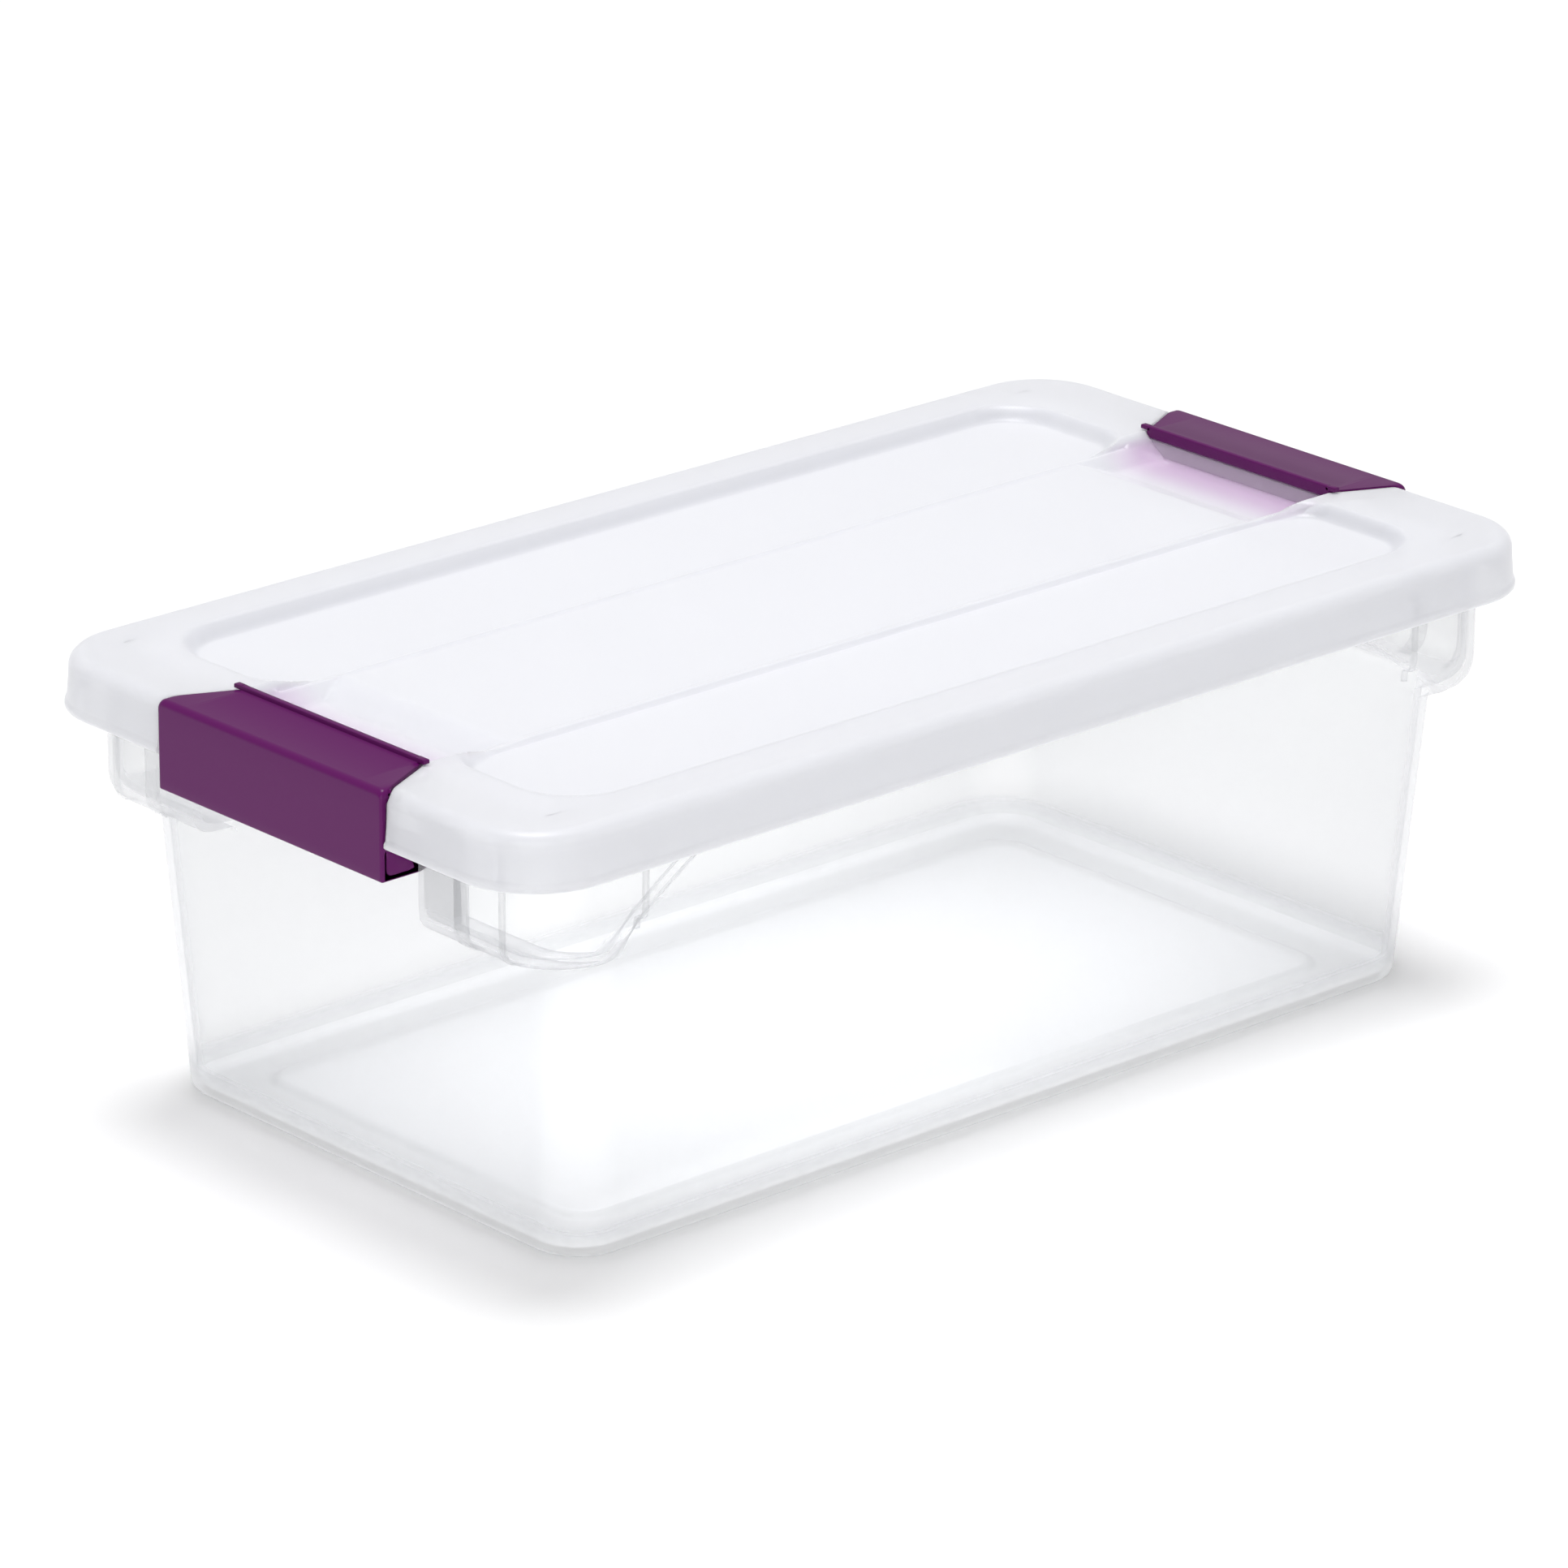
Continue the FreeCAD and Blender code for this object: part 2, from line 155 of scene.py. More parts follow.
def tub_base(column):
    """The base outside and inside, from the panel's middle out to the foot.

    Each ring is half its length, half its width, its corner radius and its height.
    """
    under = [(panel_x * s, panel_y * s, max(panel_radius * s, 1), panel_rise) for s in panel_rings]
    under += [(panel_x - 0.3, panel_y - 0.3, panel_radius, panel_rise - 0.15)]
    under += [(panel_x, panel_y, panel_radius, 0.25), (panel_x + 0.3, panel_y + 0.3, panel_radius + 0.3, 0)]
    under += [(base_x - foot_radius - 1, base_y - foot_radius - 1, base_radius - foot_radius - 1, 0)]
    inner_z = floor_thickness + panel_rise
    over = [(panel_x * s, panel_y * s, max(panel_radius * s, 1), inner_z) for s in panel_rings]
    over += [(panel_x - 0.4, panel_y - 0.4, panel_radius, inner_z - 0.1)]
    over += [(panel_x + 0.5, panel_y + 0.5, panel_radius + 0.5, inner_z - 0.9)]
    over += [(panel_x + 1.4, panel_y + 1.4, panel_radius + 1.4, floor_thickness + 0.1)]
    over += [(panel_x + 2.4, panel_y + 2.4, panel_radius + 2.4, floor_thickness)]
    over += [(base_x - 4.4, base_y - 4.4, base_radius - 4.4, floor_thickness)]
    over += [(base_x - 2.6, base_y - 2.6, base_radius - 2.6, floor_thickness + 0.3)]
    kind, place = column
    full = {"end": base_y, "side": base_x}.get(kind)

    def on_ring(half_x, half_y, radius, z):
        half = half_y if kind == "end" else half_x
        spot = place * half / full if full else place
        return (*plan_point((kind, spot), half_x, half_y, radius), z)

    return [[on_ring(*ring) for ring in rings] for rings in (under, over)]


def all_round(quarter):
    """Four mirrored copies of a quarter's columns as one closed loop, anticlockwise from above."""
    back = quarter[::-1]
    return np.concatenate([
        quarter[:-1], (back * (-1, 1, 1))[:-1], (quarter * (-1, -1, 1))[:-1], (back * (1, -1, 1))[:-1],
    ])


def skin_faces(columns, levels):
    """Quads of a sheet whose points are listed column by column; the columns close into a loop."""
    faces = []
    for c in range(columns):
        n = (c + 1) % columns
        for r in range(levels - 1):
            faces.append((c * levels + r, n * levels + r, n * levels + r + 1, c * levels + r + 1))
    return faces


weld_gap = 0.004


def make_piece(name, points, faces, material, smooth_angle=40):
    """A mesh object at the origin from points in millimetres, welded and shaded smooth."""
    mesh = bpy.data.meshes.new(name)
    mesh.from_pydata([tuple(p) for p in np.asarray(points) * mm], [], faces)
    work = bmesh.new()
    work.from_mesh(mesh)
    bmesh.ops.remove_doubles(work, verts=work.verts, dist=weld_gap * mm)
    bmesh.ops.dissolve_degenerate(work, dist=weld_gap / 2 * mm, edges=work.edges)
    bmesh.ops.recalc_face_normals(work, faces=work.faces)
    work.to_mesh(mesh)
    work.free()
    mesh.materials.append(material)
    mesh.shade_smooth()
    mesh.set_sharp_from_angle(angle=math.radians(smooth_angle))
    piece = bpy.data.objects.new(name, mesh)
    scene.collection.objects.link(piece)
    return piece


def plastic(name, colour, roughness, grain_scale, grain_depth, roughness_spread):
    """A moulded plastic: one colour, with the faint orange-peel and gloss variation of a real mould."""
    material = bpy.data.materials.new(name)
    material.use_nodes = True
    nodes, links = material.node_tree.nodes, material.node_tree.links
    shader = nodes["Principled BSDF"]
    place = nodes.new("ShaderNodeTexCoord")
    shader.inputs["Base Color"].default_value = (*colour, 1)
    cloud = nodes.new("ShaderNodeTexNoise")
    cloud.inputs["Scale"].default_value = 18
    cloud.inputs["Detail"].default_value = 4
    links.new(place.outputs["Object"], cloud.inputs["Vector"])
    spread = nodes.new("ShaderNodeMapRange")
    spread.inputs["To Min"].default_value = roughness - roughness_spread
    spread.inputs["To Max"].default_value = roughness + roughness_spread
    links.new(cloud.outputs["Fac"], spread.inputs["Value"])
    links.new(spread.outputs["Result"], shader.inputs["Roughness"])
    grain = nodes.new("ShaderNodeTexNoise")
    grain.inputs["Scale"].default_value = grain_scale
    grain.inputs["Detail"].default_value = 3
    links.new(place.outputs["Object"], grain.inputs["Vector"])
    bump = nodes.new("ShaderNodeBump")
    bump.inputs["Distance"].default_value = grain_depth * mm
    bump.inputs["Strength"].default_value = 0.5
    links.new(grain.outputs["Fac"], bump.inputs["Height"])
    links.new(bump.outputs["Normal"], shader.inputs["Normal"])
    return material


def see_through(material, face_on, edge_on, falloff):
    """Makes a plastic clearer where it is seen face on than where the eye runs along it."""
    nodes, links = material.node_tree.nodes, material.node_tree.links
    shader = nodes["Principled BSDF"]
    facing = nodes.new("ShaderNodeLayerWeight")
    facing.inputs["Blend"].default_value = falloff
    cover = nodes.new("ShaderNodeMapRange")
    cover.inputs["To Min"].default_value = face_on
    cover.inputs["To Max"].default_value = edge_on
    links.new(facing.outputs["Facing"], cover.inputs["Value"])
    links.new(cover.outputs["Result"], shader.inputs["Alpha"])


def glow_through(material, weight, depth):
    """Lets light soak through a wall: depth is how far it runs in the plastic, in millimetres."""
    shader = material.node_tree.nodes["Principled BSDF"]
    shader.inputs["Subsurface Weight"].default_value = weight
    shader.inputs["Subsurface Radius"].default_value = (1, 1, 1)
    shader.inputs["Subsurface Scale"].default_value = depth * mm


def haze_and_paint_light_base(material, depth, amount, colour, painted_light_base_colour):
    """Makes the base of a see-through moulding milkier and whiter than its walls: painted light, for the
    light that soaks through the plastic onto the tub's floor.
    """
    nodes, links = material.node_tree.nodes, material.node_tree.links
    shader = nodes["Principled BSDF"]
    cover = shader.inputs["Alpha"].links[0].from_socket
    place = nodes.new("ShaderNodeTexCoord")
    split = nodes.new("ShaderNodeSeparateXYZ")
    links.new(place.outputs["Object"], split.inputs[0])
    ramp = nodes.new("ShaderNodeMapRange")
    ramp.interpolation_type = "SMOOTHSTEP"
    ramp.inputs["From Min"].default_value = depth * mm
    ramp.inputs["From Max"].default_value = depth / 3 * mm
    links.new(split.outputs["Z"], ramp.inputs["Value"])
    total = nodes.new("ShaderNodeMath")
    total.operation = "MULTIPLY_ADD"
    total.use_clamp = True
    total.inputs[1].default_value = amount
    links.new(ramp.outputs["Result"], total.inputs[0])
    links.new(cover, total.inputs[2])
    links.new(total.outputs[0], shader.inputs["Alpha"])
    blend = nodes.new("ShaderNodeMix")
    blend.data_type = "RGBA"
    blend.inputs["A"].default_value = (*colour, 1)
    blend.inputs["B"].default_value = (*painted_light_base_colour, 1)
    links.new(ramp.outputs["Result"], blend.inputs["Factor"])
    links.new(blend.outputs["Result"], shader.inputs["Base Color"])


# The second colour is painted light: the tub's bottom is painted whiter than the greyer walls, for the light
# that reaches its floor through the plastic.
wall_colour, painted_light_base_colour = (0.66, 0.67, 0.69), (0.93, 0.94, 0.955)
clear_plastic = plastic("clear_plastic", wall_colour, roughness=0.16, grain_scale=260, grain_depth=0.02,
                        roughness_spread=0.04)
see_through(clear_plastic, face_on=0.08, edge_on=0.5, falloff=0.35)
glow_through(clear_plastic, weight=0.35, depth=4.0)
haze_and_paint_light_base(clear_plastic, depth=9, amount=0.4, colour=wall_colour, painted_light_base_colour=painted_light_base_colour)

# The columns of one quarter: along the end, with a step at the cheek, round the corner, and along
# the side, closer together where the shoulder sweeps up to its tip.
tub_columns = [("end", y) for y in (0, 10, 20, 30, 38, 42.5, cheek_y - 0.05)]
tub_columns += [("end", y) for y in (cheek_y + 0.05, 44.5, 45.2, 46.5, 49, 52, 55, 58, 61, 64)]
tub_columns += [("corner", a) for a in np.linspace(0, math.pi / 2, 17)]
tub_columns += [("side", x) for x in (*np.arange(134, 104, -1.5), 95, 80, 60, 40, 20, 0)]
outside = np.array([tub_profile(c, 0) for c in tub_columns])
inside = np.array([tub_profile(c, tub_wall) for c in tub_columns])
base = [tub_base(c) for c in tub_columns]
tub_quarter = np.concatenate([
    np.array([b[0] for b in base]), outside, inside[:, ::-1], np.array([b[1] for b in base])[:, ::-1],
], axis=1)
tub_loop = all_round(tub_quarter)
tub_levels = tub_loop.shape[1]
tub_faces = skin_faces(len(tub_loop), tub_levels)
tub_faces.append([c * tub_levels for c in range(len(tub_loop))][::-1])
tub_faces.append([c * tub_levels + tub_levels - 1 for c in range(len(tub_loop))])
tub_piece = make_piece("clear_tub", tub_loop.reshape(-1, 3), tub_faces, clear_plastic)
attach(tub_piece, "tub")
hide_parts("tub")

# --- Shoulder ribs -------------------------------------------------------------------------------
# Low upright ribs moulded on the outside of the shoulders: a wide one and a thin one on each end
# face and a thin one on each long side. They stand proud of the wall and follow it round the foot.
rib_height, rib_edge = 0.7, 0.3
rib_low, rib_high = shoulder_bottom + 0.3, flange_bottom - 0.1
wide_rib, thin_rib = 4.6, 1.4
wide_rib_y, thin_rib_y, side_rib_x = 60.4, 75.4, 133.7


def rib_paths(columns):
    """Polylines up the outside of the tub, one for each column, mirrored to all four shoulders."""
    points, edges, outward = [], [], []
    for kind, place in columns:
        wall = tub_profile((kind, place), 0)
        wall = wall[(wall[:, 2] > rib_low) & (wall[:, 2] < rib_high)]
        for sign_x, sign_y in ((1, 1), (-1, 1), (-1, -1), (1, -1)):
            first = len(points)
            points += list(wall * (sign_x, sign_y, 1) * mm)
            edges += [(first + k, first + k + 1) for k in range(len(wall) - 1)]
            outward += [(sign_x, 0, 0) if kind == "end" else (0, sign_y, 0)] * len(wall)
    mesh = bpy.data.meshes.new("rib_paths")
    mesh.from_pydata([tuple(p) for p in points], edges, [])
    mesh.attributes.new("outward", "FLOAT_VECTOR", "POINT").data.foreach_set("vector", np.ravel(outward))
    return mesh


def new_tree(name, sockets):
    """A geometry node tree with named inputs and one geometry output."""
    tree = bpy.data.node_groups.new(name, "GeometryNodeTree")
    for socket, kind in sockets:
        tree.interface.new_socket(socket, in_out="INPUT", socket_type="NodeSocket" + kind)
    tree.interface.new_socket("Geometry", in_out="OUTPUT", socket_type="NodeSocketGeometry")
    return tree, tree.nodes.new("NodeGroupInput"), tree.nodes.new("NodeGroupOutput")


def add_node(tree, kind, links=(), **settings):
    """A node with its properties set and its inputs either linked or given plain values."""
    node = tree.nodes.new(kind)
    for key, value in settings.items():
        setattr(node, key, value)
    for socket, source in links:
        if isinstance(source, bpy.types.NodeSocket):
            tree.links.new(source, node.inputs[socket])
        else:
            node.inputs[socket].default_value = source
    return node


def finish_tree(tree, result, geometry, material):
    """Ends a tree in real geometry with its material."""
    real = add_node(tree, "GeometryNodeRealizeInstances", [(0, geometry)])
    painted = add_node(tree, "GeometryNodeSetMaterial", [
        ("Geometry", real.outputs[0]), ("Material", material)])
    tree.links.new(painted.outputs[0], result.inputs[0])


def grow_tree(name, mesh, tree, values):
    """Runs a tree on a mesh and keeps the result as a plain piece at the origin."""
    holder = bpy.data.objects.new(name, mesh)
    scene.collection.objects.link(holder)
    modifier = holder.modifiers.new("grow", "NODES")
    modifier.node_group = tree
    for item in tree.interface.items_tree:
        if item.in_out == "INPUT" and item.name in values:
            modifier[item.identifier] = values[item.name]
    bpy.context.view_layer.update()
    evaluated = holder.evaluated_get(bpy.context.evaluated_depsgraph_get())
    grown = bpy.data.meshes.new_from_object(evaluated)
    holder.modifiers.clear()
    holder.data = grown
    grown.name = name
    return holder


rib_tree, rib_in, rib_out = new_tree("shoulder_ribs", [
    ("Paths", "Geometry"), ("Width", "Float"), ("Height", "Float"), ("Edge Radius", "Float"),
    ("Material", "Material"),
])
rib_line = add_node(rib_tree, "GeometryNodeMeshToCurve", [("Mesh", rib_in.outputs["Paths"])])
rib_outward = add_node(rib_tree, "GeometryNodeInputNamedAttribute", [
    ("Name", "outward")], data_type="FLOAT_VECTOR")
rib_turned = add_node(rib_tree, "GeometryNodeSetCurveNormal", [
    ("Curve", rib_line.outputs[0]), ("Normal", rib_outward.outputs["Attribute"])], mode="FREE")
rib_section = add_node(rib_tree, "GeometryNodeCurvePrimitiveQuadrilateral", [
    ("Width", rib_in.outputs["Height"]), ("Height", rib_in.outputs["Width"])])
rib_round = add_node(rib_tree, "GeometryNodeFilletCurve", [
    ("Curve", rib_section.outputs[0]), ("Count", 3), ("Radius", rib_in.outputs["Edge Radius"])], mode="POLY")
rib_swept = add_node(rib_tree, "GeometryNodeCurveToMesh", [
    ("Curve", rib_turned.outputs[0]), ("Profile Curve", rib_round.outputs[0]), ("Fill Caps", True)])
finish_tree(rib_tree, rib_out, rib_swept.outputs[0], rib_in.outputs["Material"])
for rib_name, columns, width in (
    ("wide_shoulder_ribs", [("end", wide_rib_y)], wide_rib),
    ("thin_shoulder_ribs", [("end", thin_rib_y), ("side", side_rib_x)], thin_rib),
):
    ribs = grow_tree(rib_name, rib_paths(columns), rib_tree, {
        "Width": width * mm, "Height": 2 * rib_height * mm, "Edge Radius": rib_edge * mm,
        "Material": clear_plastic})
    ribs.data.shade_smooth()
    ribs.data.set_sharp_from_angle(angle=math.radians(50))
    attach(ribs, "tub")

# --- Hinge bars ----------------------------------------------------------------------------------
# A round bar across each end of the tub, moulded between the two shoulders. The latch's C-shaped
# hook snaps over it and turns on it.
bar_radius = 2.5
bar_sides = 32
bar_root, bar_root_share = 0.8, 0.7
bar_points, bar_faces = [], []
for end in (-1, 1):
    first = len(bar_points)
    stations = ((-cheek_y - bar_root, bar_root_share), (-cheek_y, 1), (0, 1), (cheek_y, 1),
                (cheek_y + bar_root, bar_root_share))
    for y, share in stations:
        for turn in np.arange(bar_sides) * 2 * math.pi / bar_sides:
            reach = bar_radius * share
            bar_points.append((end * pivot.x + reach * math.cos(turn), y, pivot.z + reach * math.sin(turn)))
    for ring in range(len(stations) - 1):
        for side in range(bar_sides):
            a = first + ring * bar_sides + side
            b = first + ring * bar_sides + (side + 1) % bar_sides
            bar_faces.append((a, b, b + bar_sides, a + bar_sides))
    bar_faces.append([first + side for side in range(bar_sides)][::-1])
    last = first + (len(stations) - 1) * bar_sides
    bar_faces.append([last + side for side in range(bar_sides)])
bars = make_piece("hinge_bars", bar_points, bar_faces, clear_plastic)
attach(bars, "tub")

# --- Lid -----------------------------------------------------------------------------------------
# The lift-off lid: a milky polypropylene moulding. A broad soft border turns down into a flared
# skirt with a bead, two long troughs and a middle band are sunk into it, and behind each latch
# there is a pocket for the fingertips and a notch that the latch closes into.
lid_low, lid_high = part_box("lid")
lid_x = lid_high.x / mm
lid_y = lid_high.y / mm
border = lid_high.z / mm
skirt_bottom = lid_low.z / mm
lid_wall = 1.6
lid_radius, lid_edge = 23.0, 4.0
recess_x, recess_y = lid_x - 27.0, lid_y - 16.4
recess_depth, band_depth, pocket_depth, notch_depth = 3.5, 2.5, 5.9, 2.1
trough_slope, trough_steeper, trough_overlap = 4.6, 1.8, 2.0
trough_inner_radius, trough_outer_radius = 12, 18
steep_y, steep_x = (50, 38), (141, 133)
band_y = 33.7
band_end_slope, band_side_slope = 3.2, 0.6
bead_y, bead_height = 32.7, 0.45
pocket_wall_x, pocket_floor_x, pocket_crease_x = 157.1, 138.1, 128.1
notch_narrow, notch_wide = 35.2, 44.2
notch_end_x = 176
# How the sides of the pocket climb, from its floor out to the border.
pocket_side_y = (26.6, 27.8, 32.4, 34.6, notch_narrow)
pocket_side_depth = (pocket_depth, 5.75, band_depth, 0.35, 0)
grid_x, grid_y = 157.8, 82.6
hair = 0.01
bar_face_x, bar_curve = 175.7, 16.7


def inside_distance(x, y, half_x, low_y, high_y, low_radius, high_radius):
    """How far a point is inside a rounded rectangle, below 0 outside it."""
    middle, half_y = (low_y + high_y) / 2, (high_y - low_y) / 2
    radius = np.where(y > middle, high_radius, low_radius)
    dx = np.abs(x) - half_x + radius
    dy = np.abs(y - middle) - half_y + radius
    outside = np.hypot(np.maximum(dx, 0), np.maximum(dy, 0))
    return radius - outside - np.minimum(np.maximum(dx, dy), 0)


def lid_height(x, y, grow):
    """The height of the lid's top; grown by a wall and lowered by it, this is its underside."""
    x, y = np.abs(x), np.abs(y)
    trough_inside = inside_distance(x, y, recess_x + grow, band_y - trough_overlap - grow, recess_y + grow,
                                    trough_inner_radius + grow, trough_outer_radius + grow)
    near_band = smooth(*steep_y, y) * smooth(*steep_x, x)
    slope = trough_slope - trough_steeper * near_band
    trough = recess_depth * smooth(0, 1, trough_inside / slope)
    from_end, from_side = recess_x - 0.6 + grow - x, band_y + 0.4 + grow - y
    band = band_depth * smooth(0, 1, np.minimum(from_end / band_end_slope, from_side / band_side_slope))
    band = band - bead_height * smooth(1.0, 0, np.abs(y - bead_y)) * smooth(pocket_crease_x, 122, x)
    ramp = np.clip((x - pocket_crease_x + grow) / (pocket_floor_x - pocket_crease_x), 0, 1)
    along = band_depth + (pocket_depth - band_depth) * (0.75 * ramp + 0.25 * smooth(0, 1, ramp))
    across = np.interp(y - grow, pocket_side_y, pocket_side_depth)
    in_pocket = (x > pocket_crease_x - grow) & (x < pocket_wall_x + grow)
    pocket = np.where(in_pocket, np.minimum(along, across), 0)
    notch = notch_depth * (x > pocket_wall_x) * (y < notch_narrow + hair + grow)
    depth = np.maximum.reduce([trough, band, pocket, notch + 0 * x])
    return border - grow - depth


def mirrored(half):
    """Values from 0 up, with their negatives, in rising order."""
    half = np.unique(np.round(half, 4))
    return np.concatenate([-half[::-1][:-1] if half[0] == 0 else -half[::-1], half])


# Grid lines over the sunk part of the lid, closer together where it bends.
grid_columns = mirrored(np.concatenate([
    (0, 12, 24, 36, 48, 60, 72, 84, 95, 104, 111, 116, 120, 123, 125.5, 127.2, 128.1, 129),
    np.arange(130, 137.5, 1.1), (137.4, 138.1, 138.8), np.arange(139.6, 152.4, 0.8),
    (153.2, 154.6, 156, 156.8, 157.05, 157.15, grid_x),
]))
grid_rows = mirrored(np.concatenate([
    (0, 6, 12, 18, 23, 25.8, 26.6, 27.2, 27.8, 28.8, 30, 31.2, 32), np.arange(32.4, 35.1, 0.3),
    (35.19, 35.6), np.arange(36.2, 44, 0.9), (45, 47, 50, 53, 56, 59, 61.5), np.arange(63, 81.4, 0.75),
    (grid_y,),
]))
# The border and skirt cut across: how far in from the outline, and how far down from the border.
border_flat = (14.4, 10.0, 6.4, 5.2)
skirt_profile = ((1.05, 7), (0.8, 9.6), (0.62, 11.8), (0.5, 12.6), (0.12, 13.0), (0, 13.4), (0, 14.2),
                 (0.3, 14.6))
border_profile = [(inset, 0) for inset in border_flat]
for turn in np.linspace(0, math.pi / 2, 9):
    border_profile.append((border_flat[-1] - lid_edge * math.sin(turn), lid_edge * (1 - math.cos(turn))))
flat_levels, border_levels = len(border_flat), len(border_profile)
border_profile = np.array(border_profile + list(skirt_profile))
# The same in the notch, where a bar curves over the hinge and down behind the latch: x and drop.
bar_profile = [(grid_x + s, notch_depth) for s in (1.5, 3.5, 5.2, 6.2)]
for turn in np.linspace(math.pi / 2, 0.83, 9):
    bar_profile.append((pivot.x + bar_curve * math.cos(turn), border - pivot.z - bar_curve * math.sin(turn)))
bar_profile = np.array(bar_profile + [(bar_face_x, drop) for _, drop in skirt_profile])
# Past these the columns of the skirt fan round the corner.
end_fan_y, side_fan_x = 62.0, 140.0
border_fan = (0.35, 0.7)


def border_columns():
    """The grid's edge as (x, y) pairs, anticlockwise from its low corner on the +X side."""
    right = [(grid_x, y) for y in grid_rows[:-1]]
    top = [(x, grid_y) for x in grid_columns[::-1][:-1]]
    left = [(-grid_x, y) for y in grid_rows[::-1][:-1]]
    low = [(x, -grid_y) for x in grid_columns[:-1]]
    return right + top + left + low


def outline_point(x, y, inset):
    """The point of the lid's outline, moved in by inset, that belongs to one point of the grid's edge."""
    on_end = abs(abs(x) - grid_x) < 1e-6 and abs(y) < grid_y
    corner_x, corner_y = lid_x - lid_radius, lid_y - lid_radius
    radius = lid_radius - inset
    place, start, last, straight = (
        (abs(y), end_fan_y, grid_y, corner_y) if on_end else (abs(x), side_fan_x, grid_x, corner_x)
    )
    if place <= start:
        px, py = (lid_x - inset, abs(y)) if on_end else (abs(x), lid_y - inset)
    else:
        run = (place - start) / (last - start) * (straight - start + lid_radius * math.pi / 4)
        turn = max(run - (straight - start), 0) / lid_radius
        along = min(start + run, straight)
        if on_end:
            px, py = corner_x + radius * math.cos(turn), along + radius * math.sin(turn)
        else:
            px, py = along + radius * math.sin(turn), corner_y + radius * math.cos(turn)
    return math.copysign(px, x), math.copysign(py, y)


def notch_side(x):
    """Half the width of the notch at x: it widens from the pocket's wall to the front."""
    share = float(np.clip((x - pocket_wall_x) / (notch_end_x - pocket_wall_x), 0, 1))
    return notch_narrow + (notch_wide - notch_narrow) * share


def lid_rings(wall):
    """The lid from the grid's edge over the border and down the skirt; wall 0 is the outer skin."""
    columns = []
    for x, y in border_columns():
        on_end = abs(abs(x) - grid_x) < 1e-6
        in_notch = on_end and abs(y) < notch_narrow + hair + wall
        column = []
        for level, (inset, drop) in enumerate(border_profile):
            lowered = wall * (level < border_levels)
            if wall and flat_levels <= level < border_levels:
                drop = drop * (lid_edge - wall) / lid_edge
            if in_notch:
                bar_x, bar_drop = bar_profile[level]
                py = y * (notch_side(bar_x) + wall) / (notch_narrow + wall)
                px, z = math.copysign(bar_x - wall, x), border - bar_drop - lowered
            else:
                share = border_fan[level] if level < len(border_fan) else 1.0
                ox, oy = outline_point(x, y, inset + wall)
                px, py = x + (ox - x) * share, y + (oy - y) * share
                z = border - drop - lowered
                if on_end and abs(y) < end_fan_y:
                    side = notch_side(abs(px))
                    share_y = (abs(y) - notch_narrow) / (end_fan_y - notch_narrow)
                    py = math.copysign(side + wall + share_y * (end_fan_y - side - wall), y)
            column.append((px, py, z))
        columns.append(column)
    return np.array(columns)


lid_points, lid_faces = [], []
for wall in (0, lid_wall):
    gx, gy = np.meshgrid(grid_columns, grid_rows, indexing="ij")
    first = len(lid_points)
    lid_points += list(np.stack([gx, gy, lid_height(gx, gy, wall)], axis=-1).reshape(-1, 3))
    rows = len(grid_rows)
    for i in range(len(grid_columns) - 1):
        for j in range(rows - 1):
            a = first + i * rows + j
            quad = (a, a + rows, a + rows + 1, a + 1)
            lid_faces.append(quad if wall == 0 else quad[::-1])
outer_rings, inner_rings = lid_rings(0), lid_rings(lid_wall)
edge = np.array(border_columns())
ring_sheet = np.concatenate([
    np.column_stack([edge, lid_height(edge[:, 0], edge[:, 1], 0)])[:, None], outer_rings,
    inner_rings[:, ::-1], np.column_stack([edge, lid_height(edge[:, 0], edge[:, 1], lid_wall)])[:, None],
], axis=1)
first = len(lid_points)
lid_points += list(ring_sheet.reshape(-1, 3))
for face in skin_faces(len(ring_sheet), ring_sheet.shape[1]):
    lid_faces.append(tuple(first + v for v in face[::-1]))
# The second colour is painted light: the latch's purple painted onto the lid's pockets beside it.
milky_colour, painted_purple_light = (0.755, 0.76, 0.80), (0.72, 0.56, 0.76)
milky_plastic = plastic("milky_plastic", milky_colour, roughness=0.34, grain_scale=240, grain_depth=0.03,
                        roughness_spread=0.05)
see_through(milky_plastic, face_on=0.55, edge_on=1.0, falloff=0.5)
glow_through(milky_plastic, weight=1.0, depth=4.0)
# Where the painted purple starts in a pocket, and where it is full: painted light for the latch's purple
# seen through the pocket wall.
painted_purple_bounds = (("X", pocket_floor_x - 3, pocket_wall_x - 3), ("X", pocket_wall_x + 3, pocket_wall_x + 1),
                ("Y", 36, 31), ("Z", border - 0.4, border - 2.0))


